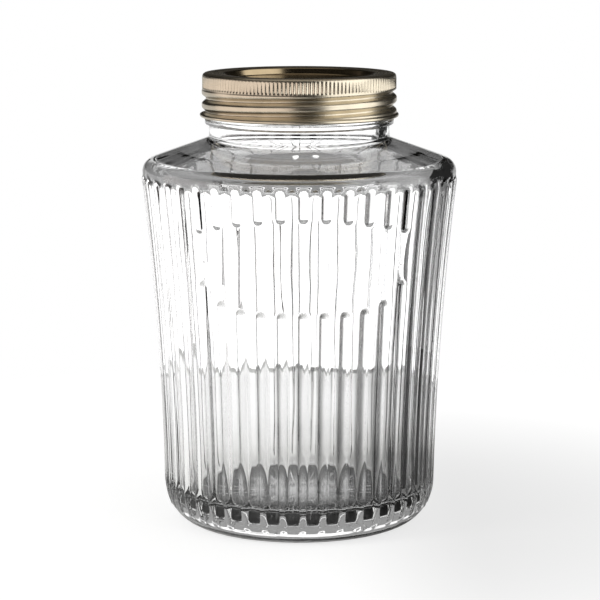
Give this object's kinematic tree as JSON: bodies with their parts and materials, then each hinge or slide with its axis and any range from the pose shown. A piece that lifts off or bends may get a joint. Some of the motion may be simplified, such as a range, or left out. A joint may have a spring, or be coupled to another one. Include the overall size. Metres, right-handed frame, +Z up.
{
  "type": "preserving jar",
  "caption": "Clear glass preserving jar with ribbed flared body, smooth front panel and sloping shoulder, closed by a flat metal lid disc and a screw band.",
  "frame": {"origin": "middle of the jar's foot, on the surface it stands on", "axes": "+Z up along the jar's axis, -Y out of the smooth front panel, +X to the right of someone who faces that panel"},
  "size_m": [0.119, 0.119, 0.1711],
  "materials": {
    "glass": "clear colourless pressed glass, polished",
    "seal": "soft off-white sealing compound",
    "lid": "gold-lacquered tinplate, glossy",
    "band": "pale gold lacquered tinplate, satin"
  },
  "bodies": {
    "root": {"glass_jar": "glass", "seal_ring": "seal", "lid_disc": "lid", "screw_band": "band"}
  },
  "joints": []
}
